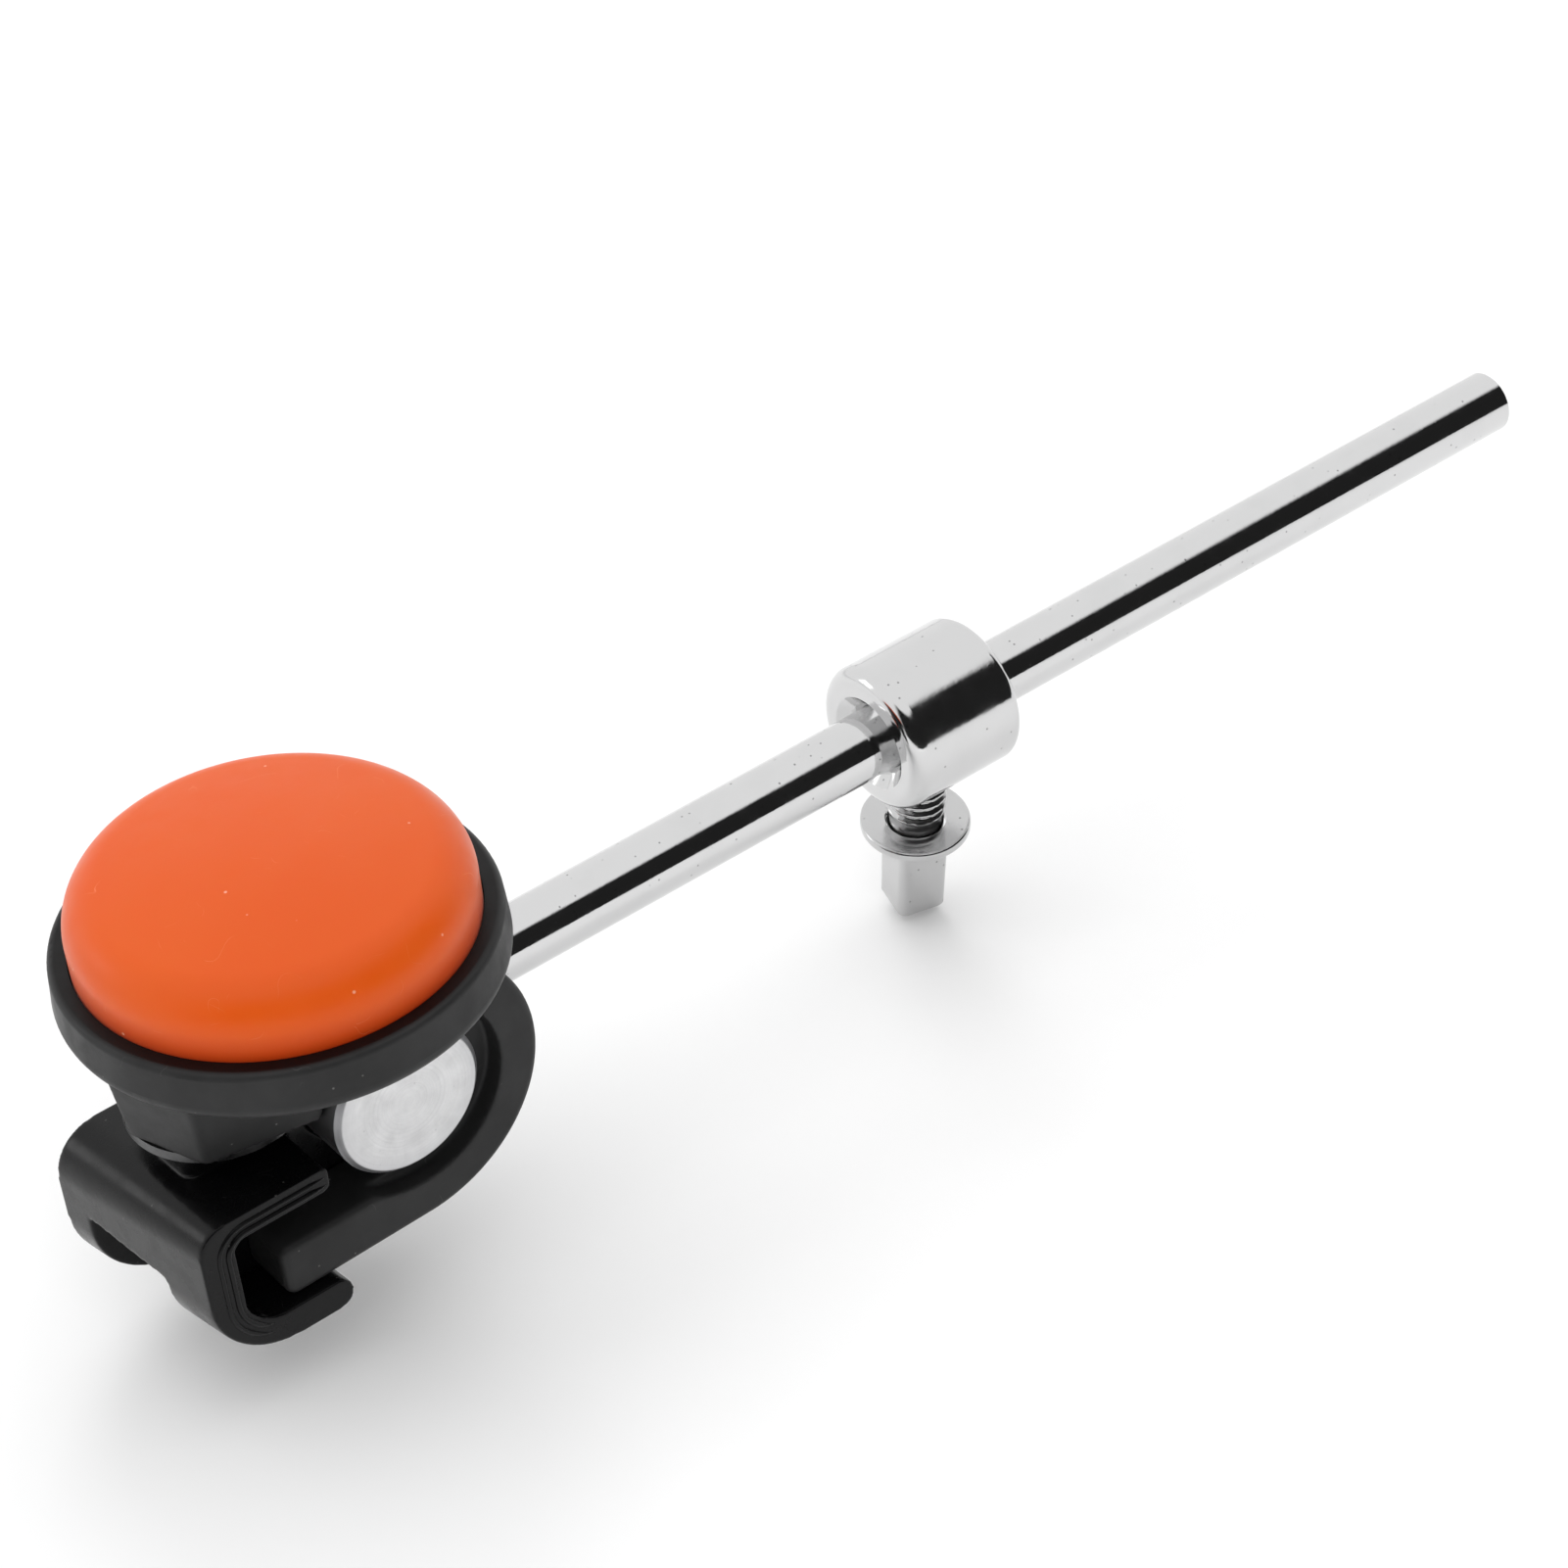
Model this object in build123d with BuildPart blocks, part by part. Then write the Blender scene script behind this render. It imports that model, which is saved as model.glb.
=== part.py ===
from build123d import *
import os
from math import radians, sin, cos, tan, sqrt

os.makedirs("parts", exist_ok=True)

# Swivel-head bass drum pedal beater, millimetres.
# Frame: origin where the rod's axis meets the head's axis. +X runs along the
# rod to its free end, +Z is the way the striking pad faces, Y is the swivel axis.

# ---- driving dimensions ---------------------------------------------------
rod_r = 4.0              # main rod, 8 mm round bar
rod_end_x = 183.2
rod_end_chamfer = 0.5
rod_mark_r = 3.7         # shallow groove where the free stretch of the rod begins
rod_mark_w = 0.55

barrel_x = 4.4           # swivel axis: a steel barrel across the rod's end
barrel_r = 9.1
half_w = 14.0            # half the width of barrel and fork
cradle_half = 15.0       # cradle's ends, on the two sides of the rod
cradle_far = 11.6
stud_r = 2.98            # threaded end of the rod in the barrel
stud_hole_r = 3.0

fork_r = 16.8            # outer radius of the fork round the barrel
fork_recess_r = 11.9     # recess round the barrel's ends
fork_recess_depth = 2.6
fork_gap = 6.5           # half the space between the fork's side plates
prong_top = -10.3
prong_bottom = -17.2
prong_end_x = -13.8
fork_top_z = 11.4

hub_half = 6.2           # cradle's hub between the side plates
hub_r_in = barrel_r + 0.05
hub_r_out = 11.8

cradle_top = -2.6         # deck under the pedestal

plate_z0 = 0.8           # steel spacer plate between boss and cradle
plate_z1 = 2.0
screw_x = -13.0
screw_y = 4.2

cup_z0 = 12.6
cup_floor = 2.0
cup_z1 = 18.9
cup_r = 24.1             # at the rim; the wall is drafted outwards below it
cup_r_low = 24.6
cup_bore_r = 22.0
pad_r = 21.85
pad_edge_z = 26.0       # crown's height at the side wall, before the shoulder
pad_shoulder_r = 5.2
pad_apex_z = 28.7

collar_x0 = 79.2
collar_x1 = 95.2
collar_r = 9.2
collar_bore_r = rod_r + 0.05
key_x = 87.0             # clamp screw's axis, at the collar's middle
key_lean = 7.5           # degrees the collar is turned on the rod
key_shank_r = 3.7
key_tap_r = 3.75
key_disc = 16.7          # distances from the rod's axis along the screw
key_washer_t = 1.3
key_washer_r = 6.7
key_square = 6.35        # across flats, standard quarter-inch drum key
key_tip = 30.6
key_turn = 14.0          # how the square stands on its axis

CX = barrel_x


# plane at the rod's axis whose normal points down the clamp screw
key_plane = Plane(origin=(key_x, 0, 0), x_dir=(1, 0, 0),
                  z_dir=(0, sin(radians(key_lean)), -cos(radians(key_lean))))

# ---- rod -------------------------------------------------------------------
with BuildPart() as beater_rod:
    with BuildSketch(Plane.YZ.offset(CX + barrel_r + 0.15)):
        Circle(rod_r)
    extrude(amount=rod_end_x - (CX + barrel_r + 0.15))
    chamfer(beater_rod.faces().sort_by(Axis.X)[-1].edges(), rod_end_chamfer)
    # shallow groove just inside the collar's outer mouth
    with BuildSketch(Plane.YZ.offset(collar_x1 + 0.05 - rod_mark_w)):
        Circle(rod_r + 1)
        Circle(rod_mark_r, mode=Mode.SUBTRACT)
    extrude(amount=rod_mark_w, mode=Mode.SUBTRACT)
    with BuildSketch(Plane.YZ.offset(CX - 4.0)):
        Circle(stud_r)
    extrude(amount=barrel_r + 4.15)
    chamfer(beater_rod.faces().sort_by(Axis.X)[0].edges(), 0.5)
beater_rod.part.label = "beater_rod"
export_step(beater_rod.part, "parts/beater_rod.step")

# ---- weight barrel ---------------------------------------------------------
with BuildPart() as weight_barrel:
    with BuildSketch(Plane.XZ):
        with Locations((CX, 0)):
            Circle(barrel_r)
    extrude(amount=half_w, both=True)
    chamfer(weight_barrel.faces().filter_by(Axis.Y).edges(), 0.6)
    with BuildSketch(Plane.YZ.offset(CX - 5.0)):
        Circle(stud_hole_r)
    extrude(amount=barrel_r + 6.0, mode=Mode.SUBTRACT)
weight_barrel.part.label = "weight_barrel"
export_step(weight_barrel.part, "parts/weight_barrel.step")

# ---- fork: two side plates joined by a web behind the barrel ----------------
with BuildPart() as fork:
    # outline of both plates
    with BuildSketch(Plane.XZ) as fork_outline:
        with Locations((CX, 0)):
            Circle(fork_r)
        with Locations((CX - 20.0, 0)):
            Rectangle(40.0, 60.0, mode=Mode.SUBTRACT)
        with BuildSketch(mode=Mode.PRIVATE) as prong_sketch:
            with BuildLine():
                Polyline((prong_end_x, prong_top), (prong_end_x, prong_bottom), (CX, -fork_r),
                         (CX + 1.0, -fork_r + 0.1), (CX + 1.0, prong_top), close=True)
            make_face()
            fillet(prong_sketch.vertices().group_by(Axis.X)[0], 1.4)
        add(prong_sketch.sketch)
        with Locations((CX, 30.0 + fork_top_z)):
            Rectangle(60.0, 60.0, mode=Mode.SUBTRACT)
    extrude(amount=half_w, both=True)
    # saddle for the barrel, right through
    with BuildSketch(Plane.XZ):
        with Locations((CX, 0)):
            Circle(barrel_r + 0.04)
    extrude(amount=half_w + 1.0, both=True, mode=Mode.SUBTRACT)
    # recess round each end of the barrel
    for side in (-1, 1):
        with BuildSketch(Plane.XZ.offset(side * half_w)):
            with Locations((CX, 0)):
                Circle(fork_recess_r)
        extrude(amount=-side * fork_recess_depth, mode=Mode.SUBTRACT)
    # space between the plates for the cradle's hub; only the web stays
    with BuildSketch(Plane.XZ) as middle_cut:
        with Locations((CX, 0)):
            Circle(fork_r + 5.0)
        with Locations((-20.0, 0)):
            Rectangle(60.0, 60.0)
        with BuildSketch(mode=Mode.PRIVATE) as web_keep:
            with Locations((CX + 16.0, 0)):
                Rectangle(16.0, 19.0)
            with Locations((CX, 0)):
                Circle(hub_r_out + 0.5, mode=Mode.SUBTRACT)
        add(web_keep.sketch, mode=Mode.SUBTRACT)
    extrude(amount=fork_gap, both=True, mode=Mode.SUBTRACT)
    # rod passes through the web
    with BuildSketch(Plane.YZ.offset(CX + 5.0)):
        Circle(rod_r + 0.03)
    extrude(amount=20.0, mode=Mode.SUBTRACT)
    # soft outer edges
    outer = [e for e in fork.edges().filter_by(GeomType.CIRCLE)
             if abs(e.radius - fork_r) < 0.01 and abs(abs(e.center().Y) - half_w) < 0.01]
    fillet(outer, 0.8)
fork.part.label = "fork"
export_step(fork.part, "parts/fork.step")

# ---- cradle: hooked swivel block -------------------------------------------
def hook_outline(back, inside, top, under, bottom, shelf, tip, r_top, r_bottom):
    """Closed U outline, open towards the rod, with all its corners rounded."""
    with BuildSketch(mode=Mode.PRIVATE) as u:
        with BuildLine():
            Polyline((-6.9, top), (back, top), (back, bottom), (tip, bottom), (tip, shelf),
                     (inside, shelf), (inside, under), (-6.9, under), close=True)
        make_face()
        fillet([v for v in u.vertices() if abs(v.X - back) < 0.1 and v.Y > -10], r_top)
        fillet([v for v in u.vertices() if abs(v.X - back) < 0.1 and v.Y < -10], r_bottom)
        fillet([v for v in u.vertices() if abs(v.X - inside) < 0.05 and v.Y > -10], 1.8)
        fillet([v for v in u.vertices() if abs(v.X - inside) < 0.05 and v.Y < -10], 4.5)
        fillet([v for v in u.vertices() if abs(v.X - tip) < 0.05], 1.9)
        fillet([v for v in u.vertices() if abs(v.X + 6.9) < 0.05], 0.9)
    return u.sketch


with BuildPart() as cradle:
    # the block is fuller at the end away from the key screw's lean
    with BuildSketch(Plane.XZ.offset(cradle_half)):
        add(hook_outline(-23.2, -19.2, -1.4, -4.6, -21.4, -17.5, -6.6, 3.4, 9.6))
    with BuildSketch(Plane.XZ.offset(-cradle_far)):
        add(hook_outline(-25.8, -21.8, -3.6, -6.2, -24.6, -18.0, -9.0, 5.6, 9.6))
    loft()
    # the two hooks end short of the middle
    with BuildSketch(Plane.XZ):
        with BuildLine():
            Polyline((-30.0, -12.4), (-1.0, -12.4), (-1.0, -40.0), (-30.0, -40.0), close=True)
        make_face()
    extrude(amount=6.8, both=True, mode=Mode.SUBTRACT)
    # web between the fork's plates, from the block's back to the hub
    with BuildSketch(Plane.XZ) as web:
        with BuildLine():
            Polyline((-21.0, -4.0), (-23.6, -10.5), (-22.3, -13.2), (-18.6, -20.0), (-15.5, -21.2),
                     (-10.5, -20.4), (-6.0, -14.2), (0.5, -11.6), (0.5, -4.0), close=True)
        make_face()
        fillet([v for v in web.vertices() if v.Y < -12 and v.X < -1], 1.6)
    extrude(amount=hub_half, both=True)
    # pedestal up to the spacer plate
    with BuildSketch(Plane.XY.offset(cradle_top - 1.0)) as pedestal:
        with Locations((-12.6, 0)):
            Rectangle(12.0, 2 * hub_half)
        fillet(pedestal.vertices(), 1.5)
    extrude(amount=plate_z0 - cradle_top + 1.0)
    # hub round the barrel, open on the rod's side
    with BuildSketch(Plane.XZ) as hub:
        with Locations((CX, 0)):
            Circle(hub_r_out)
        with BuildLine():
            Polyline((CX, 0), (CX + 30 * cos(radians(52)), 30 * sin(radians(52))),
                     (CX + 60, 0),
                     (CX + 30 * cos(radians(-58)), 30 * sin(radians(-58))), close=True)
        make_face(mode=Mode.SUBTRACT)
        with Locations((CX, 20.0 + 11.6)):
            Rectangle(60.0, 40.0, mode=Mode.SUBTRACT)
    extrude(amount=hub_half, both=True)
    with BuildSketch(Plane.XZ):
        with Locations((CX, 0)):
            Circle(hub_r_in)
    extrude(amount=cradle_half + 1, both=True, mode=Mode.SUBTRACT)
    # tapped holes for the two head screws
    with BuildSketch(Plane.XY.offset(plate_z0)):
        with Locations((screw_x, screw_y), (screw_x, -screw_y)):
            Circle(2.03)
    extrude(amount=-4.9, mode=Mode.SUBTRACT)
cradle.part.label = "cradle"
export_step(cradle.part, "parts/cradle.step")

# ---- steel spacer plate ------------------------------------------------------
with BuildPart() as spacer_plate:
    with BuildSketch(Plane.XY.offset(plate_z0)) as plate_sketch:
        with Locations((-10.8, 0)):
            Circle(10.1)
        with Locations((-7.7 + 20.0, 0)):
            Rectangle(40.0, 40.0, mode=Mode.SUBTRACT)
        with Locations((screw_x, screw_y), (screw_x, -screw_y)):
            Circle(2.1, mode=Mode.SUBTRACT)
    extrude(amount=plate_z1 - plate_z0)
spacer_plate.part.label = "spacer_plate"
export_step(spacer_plate.part, "parts/spacer_plate.step")

# ---- boss: keel-shaped block under the cup ------------------------------------
with BuildPart() as boss:
    with BuildSketch(Plane.XY.offset(plate_z1)) as boss_sketch:
        with BuildLine():
            Polyline((-21.3, 0), (-17.9, -9.6), (-3.4, -12.2), (-3.4, 12.2), (-17.9, 9.6), close=True)
        make_face()
    extrude(amount=cup_z0 - plate_z1, taper=-7.0)
    fillet([e for e in boss.edges() if e.length > 8 and abs(e.tangent_at(0.5).Z) > 0.9
            and -20.5 < e.center().X < -16], 1.4)
    # clears the barrel, and the cradle's hub in the middle
    with BuildSketch(Plane.XZ):
        with Locations((CX, 0)):
            Circle(barrel_r + 0.5)
    extrude(amount=20.0, both=True, mode=Mode.SUBTRACT)
    with BuildSketch(Plane.XZ):
        with Locations((CX, 0)):
            Circle(hub_r_out + 0.1)
    extrude(amount=hub_half + 0.2, both=True, mode=Mode.SUBTRACT)
    with BuildSketch(Plane.XY.offset(cup_z0)):
        with Locations((screw_x, screw_y), (screw_x, -screw_y)):
            Circle(2.1)
    extrude(amount=-20.0, mode=Mode.SUBTRACT)
boss.part.label = "boss"
export_step(boss.part, "parts/boss.step")

# ---- cup ---------------------------------------------------------------------
with BuildPart() as cup:
    with BuildSketch(Plane.XZ) as cup_section:
        with BuildLine():
            Polyline((0, cup_z0), (cup_r_low, cup_z0), (cup_r, cup_z1),
                     (cup_bore_r, cup_z1), (cup_bore_r, cup_z0 + cup_floor),
                     (0, cup_z0 + cup_floor), close=True)
        make_face()
        fillet([v for v in cup_section.vertices() if v.X > 23 and v.Y < 13], 1.8)
        fillet([v for v in cup_section.vertices() if v.X > 22 and v.Y > 18], 0.85)
    revolve(axis=Axis.Z)
    with BuildSketch(Plane.XY.offset(cup_z0 + cup_floor)):
        with Locations((screw_x, screw_y), (screw_x, -screw_y)):
            Circle(2.1)
    extrude(amount=-10.0, mode=Mode.SUBTRACT)
    with Locations((screw_x, screw_y, cup_z0 + cup_floor - 0.9), (screw_x, -screw_y, cup_z0 + cup_floor - 0.9)):
        Cone(2.1, 3.9, 1.8, mode=Mode.SUBTRACT)
cup.part.label = "cup"
export_step(cup.part, "parts/cup.step")

# ---- two countersunk head screws ----------------------------------------------
with BuildPart() as head_screws:
    with BuildSketch(Plane.XY.offset(plate_z0 - 4.5)):
        with Locations((screw_x, screw_y), (screw_x, -screw_y)):
            Circle(2.0)
    extrude(amount=cup_z0 + cup_floor - 1.85 - (plate_z0 - 4.5))
    with Locations((screw_x, screw_y, cup_z0 + cup_floor - 0.975), (screw_x, -screw_y, cup_z0 + cup_floor - 0.975)):
        Cone(2.0, 3.75, 1.75)
    # cross recess in each head
    with BuildSketch(Plane.XY.offset(cup_z0 + cup_floor)):
        with Locations((screw_x, screw_y), (screw_x, -screw_y)):
            Rectangle(4.0, 0.9)
            Rectangle(0.9, 4.0)
    extrude(amount=-1.2, mode=Mode.SUBTRACT)
head_screws.part.label = "head_screws"
export_step(head_screws.part, "parts/head_screws.step")

# ---- stiff plate bonded into the pad's back --------------------------------------
with BuildPart() as backing_plate:
    with BuildSketch(Plane.XY.offset(cup_z0 + cup_floor + 0.02)):
        Circle(20.0)
    extrude(amount=1.2)
    chamfer(backing_plate.edges().filter_by(GeomType.CIRCLE), 0.25)
backing_plate.part.label = "backing_plate"
export_step(backing_plate.part, "parts/backing_plate.step")

# ---- striking pad -----------------------------------------------------------------
with BuildPart() as pad:
    z0 = cup_z0 + cup_floor + 0.02
    # crown is part of a sphere centred on the head's axis
    crown_r = (pad_r ** 2 + (pad_apex_z - pad_edge_z) ** 2) / (2 * (pad_apex_z - pad_edge_z))
    crown_x = pad_r * 0.5
    crown_z = pad_apex_z - crown_r + sqrt(crown_r ** 2 - crown_x ** 2)
    with BuildSketch(Plane.XZ) as pad_section:
        with BuildLine():
            Polyline((0, pad_apex_z), (0, z0 + 1.22), (20.05, z0 + 1.22), (20.05, z0),
                     (pad_r, z0), (pad_r, pad_edge_z))
            ThreePointArc((pad_r, pad_edge_z),
                          (crown_x, crown_z), (0, pad_apex_z))
        make_face()
        fillet([v for v in pad_section.vertices() if v.X > 21.5 and v.Y > 24], pad_shoulder_r)
    revolve(axis=Axis.Z)
pad.part.label = "pad"
export_step(pad.part, "parts/pad.step")

# ---- stop collar --------------------------------------------------------------------
with BuildPart() as collar:
    with BuildSketch(Plane.YZ.offset(collar_x0)):
        Circle(collar_r)
    extrude(amount=collar_x1 - collar_x0)
    fillet(collar.faces().sort_by(Axis.X)[0].edges(), 2.0)
    fillet(collar.faces().sort_by(Axis.X)[-1].edges(), 1.1)
    with BuildSketch(Plane.YZ.offset(collar_x0 - 1)):
        Circle(collar_bore_r)
    extrude(amount=collar_x1 - collar_x0 + 2, mode=Mode.SUBTRACT)
    # deep countersink on the head's side, a light one on the other
    chamfer([e for e in collar.edges().filter_by(GeomType.CIRCLE)
             if abs(e.radius - collar_bore_r) < 0.01 and e.center().X < key_x], 1.9)
    chamfer([e for e in collar.edges().filter_by(GeomType.CIRCLE)
             if abs(e.radius - collar_bore_r) < 0.01 and e.center().X > key_x], 0.7)
    with BuildSketch(key_plane):
        Circle(key_tap_r)
    extrude(amount=12.0, mode=Mode.SUBTRACT)
collar.part.label = "collar"
export_step(collar.part, "parts/collar.step")

# ---- key screw's washer ---------------------------------------------------------------
with BuildPart() as key_washer:
    with BuildSketch(key_plane.offset(key_disc)):
        Circle(key_washer_r)
    extrude(amount=key_washer_t)
    fillet(key_washer.edges().filter_by(GeomType.CIRCLE), 0.4)
    with BuildSketch(key_plane.offset(key_disc - 1)):
        Circle(key_tap_r)
    extrude(amount=key_washer_t + 2, mode=Mode.SUBTRACT)
key_washer.part.label = "key_washer"
export_step(key_washer.part, "parts/key_washer.step")

# ---- key screw: threaded shank and square head ------------------------------------------
with BuildPart() as key_screw:
    with BuildSketch(key_plane.offset(rod_r + 0.5)):
        Circle(key_shank_r)
    extrude(amount=key_disc + key_washer_t + 0.05 - (rod_r + 0.5))
    chamfer(key_screw.faces().sort_by(Axis.Z)[-1].edges(), 0.6)
    # square head with softened corners, rotated on its shank as it stands
    with BuildSketch(key_plane.offset(key_disc + key_washer_t + 0.05)) as key_head:
        with Locations(Location((0, 0, 0), (0, 0, key_turn))):
            RectangleRounded(key_square, key_square, 0.8)
    extrude(amount=key_tip - (key_disc + key_washer_t + 0.05))
    fillet(key_screw.faces().sort_by(Axis.Z)[0].edges(), 0.9)
key_screw.part.label = "key_screw"
export_step(key_screw.part, "parts/key_screw.step")
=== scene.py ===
import math

import bmesh
import bpy
from mathutils import Matrix, Vector, noise


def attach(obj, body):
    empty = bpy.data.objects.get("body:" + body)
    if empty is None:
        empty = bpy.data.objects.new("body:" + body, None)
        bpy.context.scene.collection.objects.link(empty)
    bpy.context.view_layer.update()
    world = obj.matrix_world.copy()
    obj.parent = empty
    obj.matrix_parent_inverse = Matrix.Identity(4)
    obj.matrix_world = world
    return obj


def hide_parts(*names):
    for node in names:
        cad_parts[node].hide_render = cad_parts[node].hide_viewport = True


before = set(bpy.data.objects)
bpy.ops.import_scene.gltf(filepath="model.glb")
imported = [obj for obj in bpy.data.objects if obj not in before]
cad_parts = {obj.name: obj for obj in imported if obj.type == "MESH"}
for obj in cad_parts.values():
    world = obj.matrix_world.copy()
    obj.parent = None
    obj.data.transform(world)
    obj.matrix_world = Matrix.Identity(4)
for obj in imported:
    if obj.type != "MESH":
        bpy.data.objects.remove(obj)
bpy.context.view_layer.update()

# ---------------------------------------------------------------- camera
ROT = [
    [0.7791725, -0.6221644, -0.0761689],
    [-0.4300691, -0.4422443, -0.7870581],
    [0.4559943, 0.6460120, -0.6121583],
]
LOC = [-0.139390, -0.291809, 0.277346]
cam_data = bpy.data.cameras.new("camera")
cam = bpy.data.objects.new("camera", cam_data)
bpy.context.scene.collection.objects.link(cam)
cam_data.sensor_width = 36.0
cam_data.lens = 89.94
cam_data.clip_start = 0.01
cam_data.clip_end = 20.0
m = Matrix.Identity(4)
for r in range(3):
    m[r][0] = ROT[0][r]
    m[r][1] = -ROT[1][r]
    m[r][2] = -ROT[2][r]
    m[r][3] = LOC[r]
cam.matrix_world = m
bpy.context.scene.camera = cam


# ---------------------------------------------------------------- helpers
MM = 0.001
S = bpy.context.scene
S.view_settings.view_transform = "Standard"


def link(obj):
    S.collection.objects.link(obj)
    return obj


def mesh_obj(name, verts, faces, smooth=True):
    me = bpy.data.meshes.new(name)
    me.from_pydata([tuple(v) for v in verts], [], faces)
    me.validate()
    me.update()
    if smooth:
        for p in me.polygons:
            p.use_smooth = True
    return link(bpy.data.objects.new(name, me))


def lathe(name, profile, segments, origin=(0, 0, 0), e1=(1, 0, 0), e2=(0, 1, 0), e3=(0, 0, 1)):
    """Closed surface of revolution from (radius, height) points in millimetres; radius 0 ends become poles."""
    o, e1, e2, e3 = Vector(origin), Vector(e1), Vector(e2), Vector(e3)
    verts, rings = [], []
    for r, h in profile:
        if r < 1e-6:
            rings.append([len(verts)])
            verts.append((o + e3 * h) * MM)
        else:
            ring = []
            for i in range(segments):
                t = 2 * math.pi * i / segments
                ring.append(len(verts))
                verts.append((o + e1 * (r * math.cos(t)) + e2 * (r * math.sin(t)) + e3 * h) * MM)
            rings.append(ring)
    faces = []
    for ra, rb in zip(rings, rings[1:]):
        for i in range(segments):
            j = (i + 1) % segments
            if len(ra) == 1:
                faces.append((ra[0], rb[j], rb[i]))
            elif len(rb) == 1:
                faces.append((ra[i], ra[j], rb[0]))
            else:
                faces.append((ra[i], ra[j], rb[j], rb[i]))
    return mesh_obj(name, verts, faces)


def outward(obj):
    bm = bmesh.new()
    bm.from_mesh(obj.data)
    bmesh.ops.recalc_face_normals(bm, faces=bm.faces)
    bm.to_mesh(obj.data)
    bm.free()


def moulded(node, name, voxel, rounds):
    """A copy of a CAD node with the soft edges that a moulded or cast piece has."""
    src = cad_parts[node]
    me = src.data.copy()
    me.name = name
    obj = link(bpy.data.objects.new(name, me))
    bm = bmesh.new()
    bm.from_mesh(me)
    bmesh.ops.remove_doubles(bm, verts=bm.verts, dist=1e-7)
    bm.to_mesh(me)
    bm.free()
    mod = obj.modifiers.new("remesh", "REMESH")
    mod.mode = "VOXEL"
    mod.voxel_size = voxel * MM
    mod.use_smooth_shade = True
    sm = obj.modifiers.new("smooth", "SMOOTH")
    sm.factor = 0.5
    sm.iterations = rounds
    bpy.context.view_layer.update()
    dg = bpy.context.evaluated_depsgraph_get()
    new = bpy.data.meshes.new_from_object(obj.evaluated_get(dg))
    obj.modifiers.clear()
    obj.data = new
    for p in new.polygons:
        p.use_smooth = True
    new.materials.clear()
    return obj


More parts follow.
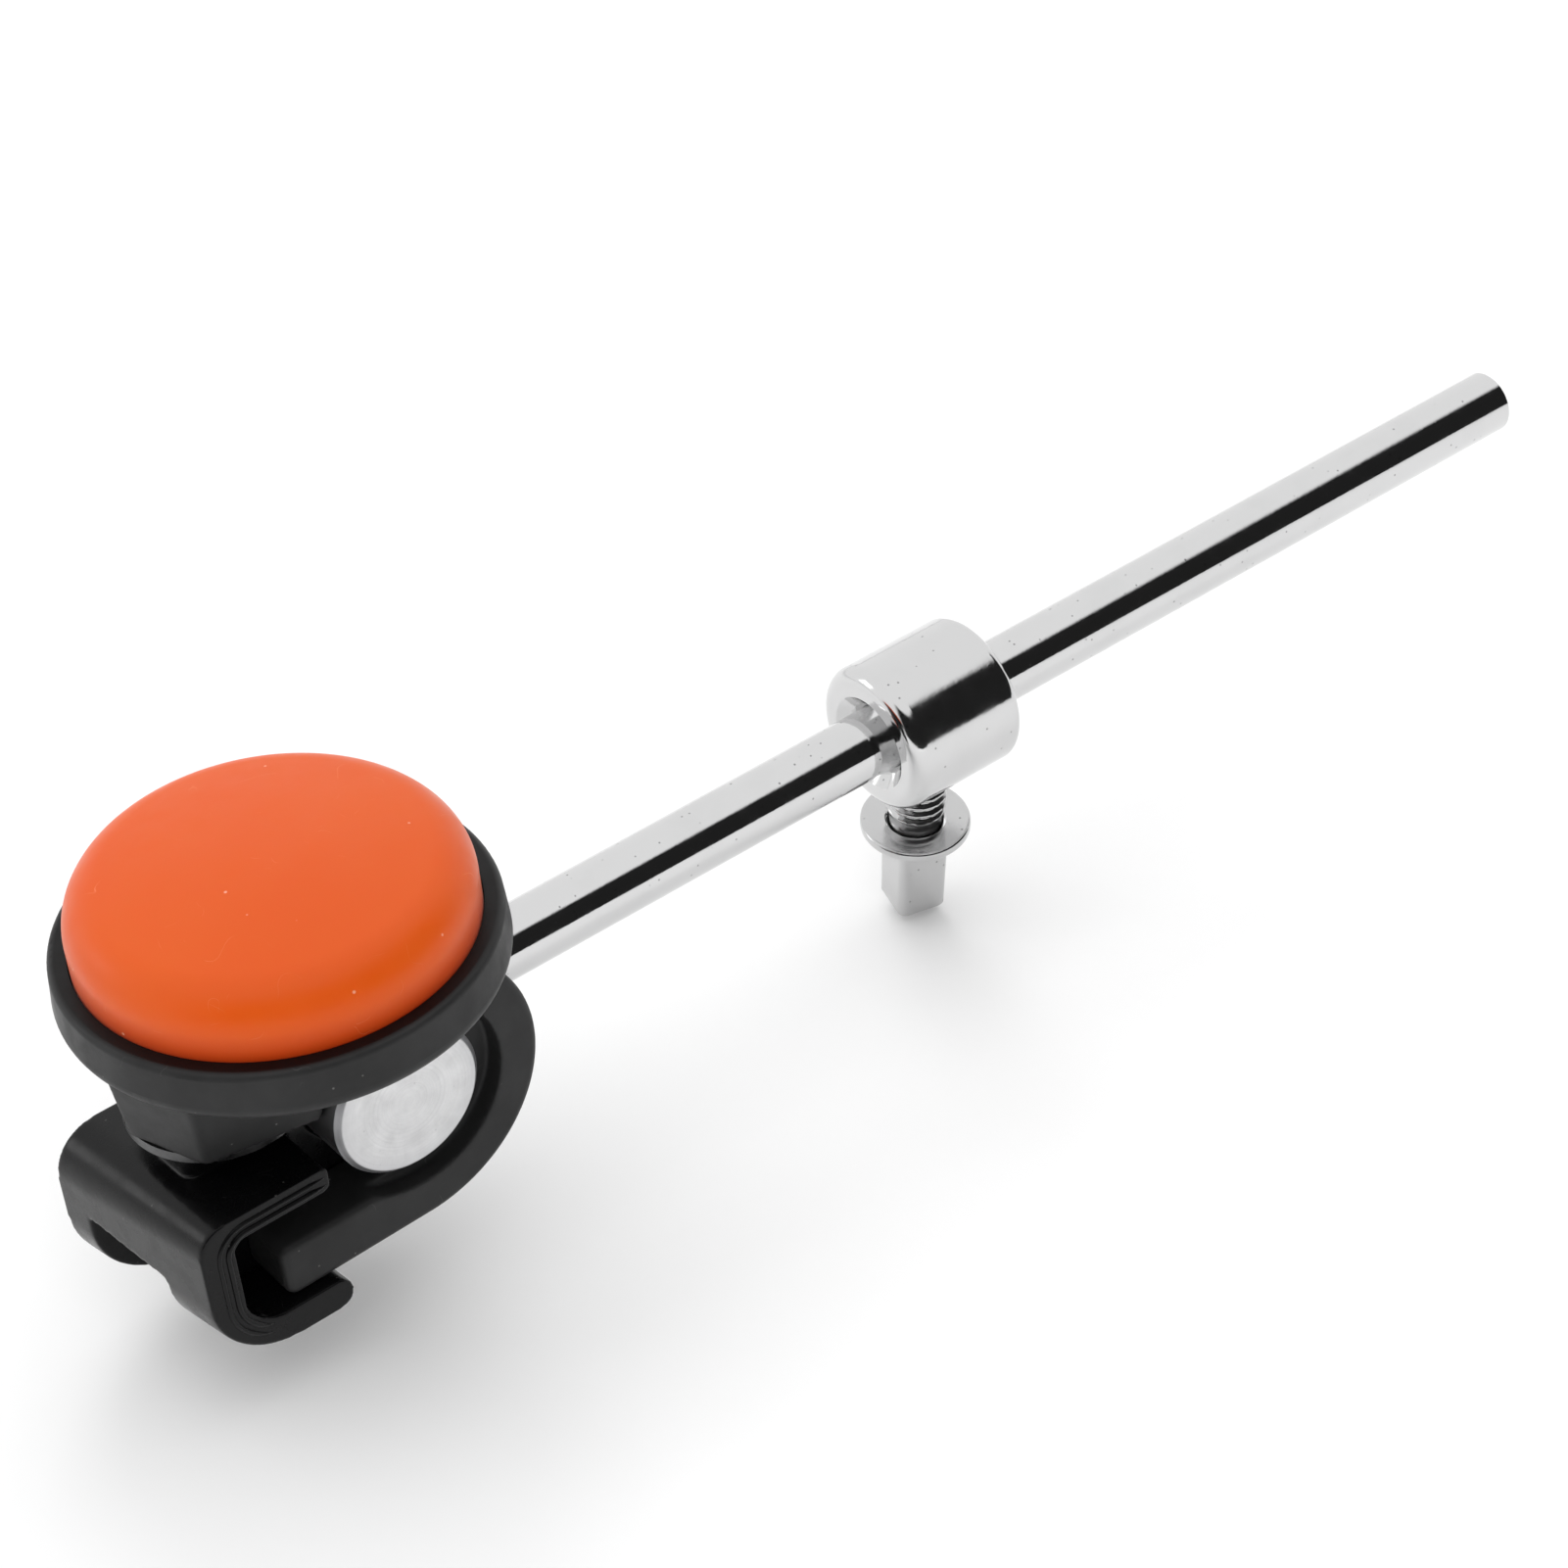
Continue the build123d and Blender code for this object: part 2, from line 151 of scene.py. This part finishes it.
# ---------------------------------------------------------------- materials
class Mat:
    """Small builder for procedural materials in the object's own coordinates."""

    def __init__(self, name, base, metallic=0.0, roughness=0.5, **sockets):
        self.m = bpy.data.materials.new(name)
        self.m.use_nodes = True
        self.nt = self.m.node_tree
        self.p = self.nt.nodes["Principled BSDF"]
        self.p.inputs["Base Color"].default_value = (*base, 1)
        self.p.inputs["Metallic"].default_value = metallic
        self.p.inputs["Roughness"].default_value = roughness
        for k, v in sockets.items():
            self.p.inputs[k.replace("_", " ")].default_value = v
        self.tc = self.nt.nodes.new("ShaderNodeTexCoord")

    def node(self, kind, **props):
        n = self.nt.nodes.new(kind)
        for k, v in props.items():
            setattr(n, k, v)
        return n

    def noise(self, scale, detail=3.0, rough=0.55, stretch=(1, 1, 1)):
        mp = self.node("ShaderNodeMapping")
        mp.inputs["Scale"].default_value = stretch
        self.nt.links.new(self.tc.outputs["Object"], mp.inputs["Vector"])
        n = self.node("ShaderNodeTexNoise")
        n.inputs["Scale"].default_value = scale
        n.inputs["Detail"].default_value = detail
        n.inputs["Roughness"].default_value = rough
        self.nt.links.new(mp.outputs["Vector"], n.inputs["Vector"])
        return n.outputs["Fac"]

    def ramp(self, fac, stops):
        r = self.node("ShaderNodeValToRGB")
        el = r.color_ramp.elements
        while len(el) < len(stops):
            el.new(0.5)
        for e, (pos, col) in zip(el, stops):
            e.position = pos
            e.color = (*col, 1) if len(col) == 3 else col
        self.nt.links.new(fac, r.inputs["Fac"])
        return r.outputs["Color"]

    def remap(self, fac, a, b, c, d):
        n = self.node("ShaderNodeMapRange")
        n.inputs["From Min"].default_value = a
        n.inputs["From Max"].default_value = b
        n.inputs["To Min"].default_value = c
        n.inputs["To Max"].default_value = d
        self.nt.links.new(fac, n.inputs["Value"])
        return n.outputs["Result"]

    def mix(self, fac, a, b):
        n = self.node("ShaderNodeMix", data_type="RGBA")
        self.nt.links.new(fac, n.inputs[0])
        for v, sock in ((a, n.inputs[6]), (b, n.inputs[7])):
            if isinstance(v, tuple):
                sock.default_value = (*v, 1)
            else:
                self.nt.links.new(v, sock)
        return n.outputs[2]

    def math(self, op, a, b=None):
        n = self.node("ShaderNodeMath", operation=op)
        for v, sock in ((a, n.inputs[0]), (b, n.inputs[1])):
            if v is None:
                continue
            if isinstance(v, (int, float)):
                sock.default_value = v
            else:
                self.nt.links.new(v, sock)
        return n.outputs[0]

    def specks(self, scale, size):
        """1 inside small sparse spots."""
        v = self.node("ShaderNodeTexVoronoi")
        v.inputs["Scale"].default_value = scale
        v.inputs["Randomness"].default_value = 1.0
        self.nt.links.new(self.tc.outputs["Object"], v.inputs["Vector"])
        near = self.remap(v.outputs["Distance"], size, size * 0.5, 0.0, 1.0)
        pick = self.node("ShaderNodeSeparateColor")
        self.nt.links.new(v.outputs["Color"], pick.inputs[0])
        some = self.math("GREATER_THAN", pick.outputs[0], 0.72)
        return self.math("MULTIPLY", near, some)

    def scratches(self, scale, width, angle, keep):
        """1 along thin, broken, slightly wavy lines."""
        mp = self.node("ShaderNodeMapping")
        mp.inputs["Rotation"].default_value = angle
        self.nt.links.new(self.tc.outputs["Object"], mp.inputs["Vector"])
        w = self.node("ShaderNodeTexNoise")
        w.inputs["Scale"].default_value = scale
        w.inputs["Detail"].default_value = 1.0
        self.nt.links.new(mp.outputs["Vector"], w.inputs["Vector"])
        d = self.math("ABSOLUTE", self.math("SUBTRACT", w.outputs["Fac"], 0.5))
        line = self.remap(d, 0.0, width, 1.0, 0.0)
        patch = self.remap(self.noise(scale * 0.9, 2.0), keep, keep + 0.05, 0.0, 1.0)
        return self.math("MULTIPLY", line, patch)

    def bump(self, height, distance, strength=1.0):
        b = self.node("ShaderNodeBump")
        b.inputs["Strength"].default_value = strength
        b.inputs["Distance"].default_value = distance
        self.nt.links.new(height, b.inputs["Height"])
        self.nt.links.new(b.outputs["Normal"], self.p.inputs["Normal"])

    def to(self, out, socket):
        self.nt.links.new(out, self.p.inputs[socket])


def chrome(name, base, rough, pit):
    k = Mat(name, base, 1.0, rough)
    haze = k.noise(420, 4.0)
    k.to(k.remap(haze, 0.35, 0.7, rough, rough + 0.07), "Roughness")
    spots = k.specks(900, 0.16)
    dull = k.mix(spots, base, tuple(c * 0.45 for c in base))
    cloud = k.noise(160, 3.0)
    k.to(k.mix(k.remap(cloud, 0.45, 0.75, 0.0, 0.18), dull, tuple(c * 0.8 for c in base)), "Base Color")
    k.bump(k.math("ADD", k.noise(1500, 2.0), k.math("MULTIPLY", spots, 0.6)), 0.00001, pit)
    return k.m


def plastic(name, base, rough, grain, dust):
    k = Mat(name, base, 0.0, rough)
    k.p.inputs["Specular IOR Level"].default_value = 0.2
    k.to(k.remap(k.noise(300, 4.0), 0.3, 0.7, rough - 0.06, rough + 0.09), "Roughness")
    spots = k.specks(620, 0.10)
    lint = k.scratches(260, 0.004, (0.3, 0.2, 0.9), 0.62)
    marks = k.math("MINIMUM", k.math("ADD", spots, k.math("MULTIPLY", lint, 0.5)), 1.0)
    worn = k.mix(k.remap(k.noise(90, 4.0), 0.4, 0.75, 0.0, 1.0), base, tuple(c * 1.7 for c in base))
    k.to(k.mix(k.math("MULTIPLY", marks, dust), worn, (0.32, 0.31, 0.30)), "Base Color")
    k.bump(k.noise(2200, 2.0), 0.00002, grain)
    return k.m


M_ROD = chrome("chrome_rod", (0.65, 0.65, 0.652), 0.045, 0.5)
M_COLLAR = chrome("chrome_collar", (0.64, 0.64, 0.642), 0.075, 0.6)
M_SCREW = chrome("chrome_screw", (0.56, 0.56, 0.562), 0.16, 0.5)
M_SATIN = plastic("satin_black", (0.017, 0.017, 0.0172), 0.42, 0.30, 0.30)
M_GLOSS = plastic("gloss_black", (0.0025, 0.0025, 0.0027), 0.25, 0.10, 0.16)

# barrel: turned face with faint rings; painted shade darkens the outer part of the face and the chamfer
k = Mat("machined_steel", (0.72, 0.72, 0.73), 1.0, 0.42)
sep = k.node("ShaderNodeSeparateXYZ")
k.nt.links.new(k.tc.outputs["Object"], sep.inputs[0])
dx = k.math("SUBTRACT", sep.outputs["X"], 0.0044)
rr = k.math("SQRT", k.math("ADD", k.math("MULTIPLY", dx, dx), k.math("MULTIPLY", sep.outputs["Z"], sep.outputs["Z"])))
rings = k.math("SINE", k.math("MULTIPLY", rr, 14000.0))
# painted shade: the chamfer past radius 8.35 mm is coloured dark grey
rim = k.remap(rr, 0.00835, 0.00855, 0.0, 1.0)
mott = k.noise(480, 5.0, 0.7)
face = k.mix(k.remap(mott, 0.35, 0.7, 0.0, 1.0), (0.76, 0.76, 0.765), (0.69, 0.69, 0.695))
face = k.mix(k.math("MULTIPLY", k.specks(700, 0.10), 0.4), face, (0.40, 0.40, 0.41))
ring_no = k.node("ShaderNodeTexNoise", noise_dimensions="1D")
ring_no.inputs["Scale"].default_value = 1.0
ring_no.inputs["Detail"].default_value = 3.0
k.nt.links.new(k.math("MULTIPLY", rr, 3400.0), ring_no.inputs["W"])
face = k.mix(k.remap(ring_no.outputs["Fac"], 0.42, 0.70, 0.0, 0.22), face, (0.56, 0.56, 0.57))
streak = k.noise(300, 3.0, 0.6, (1.0, 1.0, 0.12))
face = k.mix(k.remap(streak, 0.55, 0.75, 0.0, 0.5), face, (0.62, 0.62, 0.63))
# painted shade: the face darkens towards its outer edge
outer = k.remap(rr, 0.0066, 0.0083, 0.0, 0.75)
face = k.mix(outer, face, (0.62, 0.62, 0.63))
k.to(k.mix(rim, face, (0.34, 0.34, 0.35)), "Base Color")
k.to(k.remap(mott, 0.3, 0.7, 0.36, 0.52), "Roughness")
k.bump(k.math("ADD", rings, k.math("MULTIPLY", mott, 0.25)), 0.000010, 0.5)
M_STEEL = k.m

# zinc plated steel of the spacer plate and head screws, its colour darkened to near black as painted shade so the
# plate stays dim under the boss
k = Mat("zinc_screws", (0.10, 0.10, 0.102), 1.0, 0.40)
k.to(k.remap(k.noise(700, 4.0), 0.3, 0.7, 0.24, 0.44), "Roughness")
k.to(k.mix(k.noise(300, 4.0), (0.06, 0.06, 0.062), (0.14, 0.14, 0.14)), "Base Color")
k.bump(k.noise(1500, 2.0), 0.00001, 0.4)
M_ZINC_SHADE_DARKENED = k.m

k = Mat("backing_board", (0.05, 0.05, 0.05), 0.0, 0.8)
k.to(k.mix(k.noise(500, 4.0), (0.035, 0.035, 0.035), (0.08, 0.078, 0.075)), "Base Color")
k.bump(k.noise(1800, 3.0), 0.00003, 0.5)
M_BOARD = k.m

# silicone of the pad
k = Mat("orange_silicone", (0.74, 0.095, 0.012), 0.0, 0.42)
k.p.inputs["Specular IOR Level"].default_value = 0.22
k.p.inputs["Sheen Weight"].default_value = 0.10
k.p.inputs["Sheen Roughness"].default_value = 0.45
k.p.inputs["Sheen Tint"].default_value = (1.0, 0.86, 0.80, 1)
k.p.inputs["Subsurface Weight"].default_value = 0.18
k.p.inputs["Subsurface Radius"].default_value = (1.0, 0.25, 0.08)
k.p.inputs["Subsurface Scale"].default_value = 0.0012
sep = k.node("ShaderNodeSeparateXYZ")
k.nt.links.new(k.tc.outputs["Object"], sep.inputs[0])
# painted shade: the side of the pad turns darker and more saturated towards its foot in the cup (below 22.2 mm
# height)
low_shade = k.remap(sep.outputs["Z"], 0.0186, 0.0222, 1.0, 0.0)
tone = k.mix(k.noise(46, 3.0), (0.68, 0.080, 0.003), (0.70, 0.104, 0.007))
tone = k.mix(k.math("MULTIPLY", low_shade, 0.80), tone, (0.50, 0.034, 0.003))
fine = k.scratches(150, 0.0028, (0.0, 0.0, 0.5), 0.58)
fine2 = k.scratches(210, 0.0022, (0.4, 0.1, 1.9), 0.62)
marks = k.math("MULTIPLY", k.math("MINIMUM", k.math("ADD", fine, fine2), 1.0), 0.42)
tone = k.mix(marks, tone, (0.88, 0.33, 0.16))
tone = k.mix(k.math("MULTIPLY", k.specks(330, 0.075), 0.7), tone, (0.88, 0.48, 0.34))
tone = k.mix(k.math("MULTIPLY", k.specks(210, 0.055), 0.55), tone, (0.33, 0.05, 0.02))
k.to(tone, "Base Color")
k.to(k.remap(k.noise(260, 4.0), 0.3, 0.7, 0.33, 0.46), "Roughness")
k.bump(k.math("ADD", k.noise(900, 3.0), k.math("MULTIPLY", marks, -1.5)), 0.00002, 0.35)
M_PAD = k.m


def dress(node, mat):
    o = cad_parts[node]
    if not o.material_slots:
        o.data.materials.append(mat)
    for s in o.material_slots:
        s.material = mat


dress("beater_rod", M_ROD)
dress("weight_barrel", M_STEEL)
# the cup: like the other satin pieces, but with painted shade on the rim top and inside: the base colour goes near
# black inside radius 23.3 mm
cup_mat = M_SATIN.copy()
cup_mat.name = "satin_black_cup"
nt = cup_mat.node_tree
p = nt.nodes["Principled BSDF"]
prev = p.inputs["Base Color"].links[0].from_socket
tc = nt.nodes.new("ShaderNodeTexCoord")
sp = nt.nodes.new("ShaderNodeSeparateXYZ")
nt.links.new(tc.outputs["Object"], sp.inputs[0])
flat = nt.nodes.new("ShaderNodeCombineXYZ")
nt.links.new(sp.outputs["X"], flat.inputs[0])
nt.links.new(sp.outputs["Y"], flat.inputs[1])
length = nt.nodes.new("ShaderNodeVectorMath")
length.operation = "LENGTH"
nt.links.new(flat.outputs[0], length.inputs[0])
rim_inside_shade = nt.nodes.new("ShaderNodeMapRange")
for key, v in zip(("From Min", "From Max", "To Min", "To Max"), (0.0233, 0.0238, 1.0, 0.0)):
    rim_inside_shade.inputs[key].default_value = v
nt.links.new(length.outputs["Value"], rim_inside_shade.inputs["Value"])
mixer = nt.nodes.new("ShaderNodeMix")
mixer.data_type = "RGBA"
nt.links.new(rim_inside_shade.outputs["Result"], mixer.inputs[0])
nt.links.new(prev, mixer.inputs[6])
# painted shade: near-black colour for the rim top and inside of the cup
mixer.inputs[7].default_value = (0.0022, 0.0022, 0.0024, 1)
nt.links.new(mixer.outputs[2], p.inputs["Base Color"])
dress("cup", cup_mat)
dress("spacer_plate", M_ZINC_SHADE_DARKENED)
dress("head_screws", M_ZINC_SHADE_DARKENED)
dress("backing_plate", M_BOARD)
dress("collar", M_COLLAR)
dress("key_washer", M_SCREW)

# ---------------------------------------------------------------- moulded pieces
for node, name, voxel, rounds, mat, slot, body in (
    ("fork", "fork_moulding", 0.20, 9, M_SATIN, "satin_black", "rod"),
    ("boss", "boss_moulding", 0.20, 9, M_SATIN, "satin_black", "head"),
    ("cradle", "cradle_moulding", 0.20, 14, M_GLOSS, "gloss_black", "head"),
):
    piece = moulded(node, name, voxel, rounds)
    piece.data.materials.append(mat)
    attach(piece, body)
    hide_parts(node)

# ---------------------------------------------------------------- raised lines along the cradle's near mouth
def mouth_path(off):
    """Inner outline of the near hook, moved outwards by off, as (x, z) in millimetres."""
    pts = [(-7.4, -4.6 + off)]
    for i in range(13):
        t = math.radians(90 + 90 * i / 12)
        pts.append((-17.4 + (1.8 + off) * math.cos(t), -6.4 + (1.8 + off) * math.sin(t)))
    for i in range(10):
        t = math.radians(180 + 70 * i / 9)
        pts.append((-14.7 + (4.5 + off) * math.cos(t), -13.0 + (4.5 + off) * math.sin(t)))
    fine_pts = []
    for a, b in zip(pts, pts[1:]):
        n = max(1, int(math.hypot(b[0] - a[0], b[1] - a[1]) / 0.6))
        fine_pts += [(a[0] + (b[0] - a[0]) * i / n, a[1] + (b[1] - a[1]) * i / n) for i in range(n)]
    fine_pts.append(pts[-1])
    return fine_pts


for label, off, rad in (("lip_line_inner", 0.85, 0.36), ("lip_line_outer", 1.95, 0.30)):
    path = mouth_path(off)
    verts, faces, K = [], [], 12
    for i, (x, z) in enumerate(path):
        a, b = path[max(i - 1, 0)], path[min(i + 1, len(path) - 1)]
        d = math.hypot(b[0] - a[0], b[1] - a[1])
        nx, nz = -(b[1] - a[1]) / d, (b[0] - a[0]) / d
        taper = min(1.0, 0.25 + min(i, len(path) - 1 - i) / 4.0)
        for q in range(K):
            t = 2 * math.pi * q / K
            verts.append(((x + nx * rad * taper * math.cos(t)) * MM, (-14.95 + rad * taper * math.sin(t)) * MM,
                          (z + nz * rad * taper * math.cos(t)) * MM))
    for i in range(len(path) - 1):
        for q in range(K):
            w = (q + 1) % K
            faces.append((i * K + q, i * K + w, (i + 1) * K + w, (i + 1) * K + q))
    faces.append(tuple(range(K)))
    faces.append(tuple(reversed(range((len(path) - 1) * K, len(path) * K))))
    line = mesh_obj(label, verts, faces)
    outward(line)
    line.data.materials.append(M_GLOSS)
    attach(line, "head")

# ---------------------------------------------------------------- striking pad
PAD_R, EDGE, SHOULDER, APEX, PAD_Z0 = 21.85, 26.0, 5.2, 28.7, 14.62
crown = (PAD_R ** 2 + (APEX - EDGE) ** 2) / (2 * (APEX - EDGE))
cx = PAD_R - SHOULDER
dz = math.sqrt((crown - SHOULDER) ** 2 - cx ** 2)
cz = APEX - crown + dz
turn = math.atan2(dz, cx)
tx = cx * crown / (crown - SHOULDER)
prof = [(0, PAD_Z0 + 1.22), (20.05, PAD_Z0 + 1.22), (20.05, PAD_Z0), (PAD_R - 0.4, PAD_Z0), (PAD_R - 0.1, PAD_Z0 + 0.12), (PAD_R, PAD_Z0 + 0.45)]
for i in range(1, 8):
    prof.append((PAD_R, PAD_Z0 + 0.45 + (cz - PAD_Z0 - 0.45) * i / 8))
for i in range(29):
    t = turn * i / 28
    prof.append((cx + SHOULDER * math.cos(t), cz + SHOULDER * math.sin(t)))
for i in range(1, 40):
    r = tx * (1 - i / 40)
    prof.append((r, APEX - crown + math.sqrt(crown ** 2 - r ** 2)))
prof.append((0, APEX))
pad = lathe("silicone_pad", prof, 192)
outward(pad)
pad.data.materials.append(M_PAD)
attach(pad, "head")
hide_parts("pad")

# ---------------------------------------------------------------- key screw with rolled thread
lean = math.radians(7.5)
A = Vector((0, math.sin(lean), -math.cos(lean)))
E1 = Vector((1, 0, 0))
E2 = A.cross(E1)
N = 96
CREST, ROOT, PITCH = 3.7, 3.22, 1.25
rings = []


def square_r(t, flat, corner, turn_deg=14.0):
    """Distance from the axis to a rounded square's side in direction t."""
    t = t - math.radians(turn_deg)
    c, s = abs(math.cos(t)), abs(math.sin(t))
    h = flat / 2
    k0 = h - corner
    r = h / max(c, s)
    x, y = r * c, r * s
    if min(x, y) > k0:
        b = -2 * (k0 * c + k0 * s)
        q = 2 * k0 * k0 - corner * corner
        r = (-b + math.sqrt(max(b * b - 4 * q, 0))) / 2
    return r


def ring(s, fn):
    rings.append([(fn(2 * math.pi * i / N), 2 * math.pi * i / N, s) for i in range(N)])


ring(4.5, lambda t: 2.6)
ring(4.9, lambda t: 3.1)
steps = int((15.4 - 5.0) / 0.1)
for j in range(steps + 1):
    s = 5.0 + j * 0.1

    def thread(t, s=s):
        u = (s / PITCH + t / (2 * math.pi)) % 1.0
        v = abs(2 * u - 1)
        v = min(max((v - 0.12) / 0.70, 0.0), 1.0)
        fade = min(1.0, (15.4 - s) / 0.9)
        return ROOT + (CREST - ROOT) * v * fade
    ring(s, thread)
ring(15.6, lambda t: 3.2)
ring(16.3, lambda t: 3.25)
ring(16.68, lambda t: 3.45)
ring(18.02, lambda t: 3.45)
ring(18.06, lambda t: square_r(t, 5.9, 0.8))
ring(18.25, lambda t: square_r(t, 6.30, 0.8))
for j in range(1, 12):
    s = 18.25 + j * 0.95
    ring(s, lambda t, s=s: square_r(t, 6.35 - 0.012 * (s - 18.25), 0.8 + 0.02 * (s - 18.25)))
for j in range(1, 9):
    q = math.radians(90 * j / 8)
    s = 29.7 + 0.9 * math.sin(q) * 0.98
    ring(s, lambda t, q=q: square_r(t, 6.22 - 1.9 * (1 - math.cos(q)), 0.95))
O = Vector((87.0, 0, 0))
verts, faces = [], []
for rg in rings:
    for r, t, s in rg:
        verts.append((O + E1 * (r * math.cos(t)) + E2 * (r * math.sin(t)) + A * s) * MM)
for a in range(len(rings) - 1):
    for i in range(N):
        j = (i + 1) % N
        faces.append((a * N + i, a * N + j, (a + 1) * N + j, (a + 1) * N + i))
top = len(verts)
verts.append((O + A * 4.5) * MM)
bot = len(verts)
verts.append((O + A * 30.6) * MM)
last = (len(rings) - 1) * N
for i in range(N):
    j = (i + 1) % N
    faces.append((top, j, i))
    faces.append((last + i, last + j, bot))
screw = mesh_obj("key_screw_threaded", verts, faces)
outward(screw)
screw.data.materials.append(M_SCREW)
screw.data.set_sharp_from_angle(angle=math.radians(38))
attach(screw, "screw")
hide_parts("key_screw")

# ---------------------------------------------------------------- floor
floor = mesh_obj("floor", [(-4, -4, -0.0316), (4, -4, -0.0316), (4, 4, -0.0316), (-4, 4, -0.0316)], [(0, 1, 2, 3)], smooth=False)
k = Mat("floor_paper", (0.93, 0.93, 0.93), 0.0, 0.9)
k.p.inputs["Specular IOR Level"].default_value = 0.0
k.to(k.mix(k.noise(30, 3.0), (0.925, 0.925, 0.925), (0.94, 0.94, 0.94)), "Base Color")
floor.data.materials.append(k.m)

# ---------------------------------------------------------------- studio light
world = bpy.data.worlds.new("studio")
S.world = world
world.use_nodes = True
nt = world.node_tree
bg = nt.nodes["Background"]
tc = nt.nodes.new("ShaderNodeTexCoord")
sp = nt.nodes.new("ShaderNodeSeparateXYZ")
nt.links.new(tc.outputs["Generated"], sp.inputs[0])


def wmap(val, a, b, c, d):
    n = nt.nodes.new("ShaderNodeMapRange")
    n.interpolation_type = "SMOOTHSTEP"
    for key, v in zip(("From Min", "From Max", "To Min", "To Max"), (a, b, c, d)):
        n.inputs[key].default_value = v
    nt.links.new(val, n.inputs["Value"])
    return n.outputs["Result"]


def wmath(op, a, b):
    n = nt.nodes.new("ShaderNodeMath")
    n.operation = op
    for v, s in ((a, n.inputs[0]), (b, n.inputs[1])):
        if isinstance(v, (int, float)):
            s.default_value = v
        else:
            nt.links.new(v, s)
    return n.outputs[0]


# dark half of the studio: the room in front, from the horizon up to the ceiling light
front = wmap(sp.outputs["Y"], -0.10, -0.30, 0.0, 1.0)
low = wmap(sp.outputs["Z"], -0.30, -0.22, 0.0, 1.0)
high = wmap(sp.outputs["Z"], 0.80, 0.72, 0.0, 1.0)
dark = wmath("MULTIPLY", front, wmath("MULTIPLY", low, high))
level = wmath("SUBTRACT", 1.0, wmath("MULTIPLY", dark, 0.982))
nt.links.new(wmath("MULTIPLY", level, 1.06), bg.inputs["Strength"])
bg.inputs["Color"].default_value = (1, 1, 1, 1)


def softbox(name, loc, target, size, power):
    d = bpy.data.lights.new(name, "AREA")
    d.shape = "SQUARE"
    d.size = size
    d.energy = power
    o = link(bpy.data.objects.new(name, d))
    o.location = loc
    o.rotation_euler = (Vector(target) - Vector(loc)).to_track_quat("-Z", "Y").to_euler()
    return o


overhead = softbox("overhead", (0.02, -0.05, 0.85), (0.03, 0, 0), 1.50, 2.8)
fill = softbox("front_fill", (-0.25, -0.92, 0.34), (0.02, 0, 0), 0.80, 4.0)
softbox("back_left", (-0.50, 0.55, 0.26), (-0.02, 0, 0), 0.24, 0.35)
back = softbox("back_right", (0.30, 0.50, 0.46), (0, 0, 0.02), 0.26, 0.8)

for lamp in (overhead, fill, back):
    lamp.visible_glossy = False
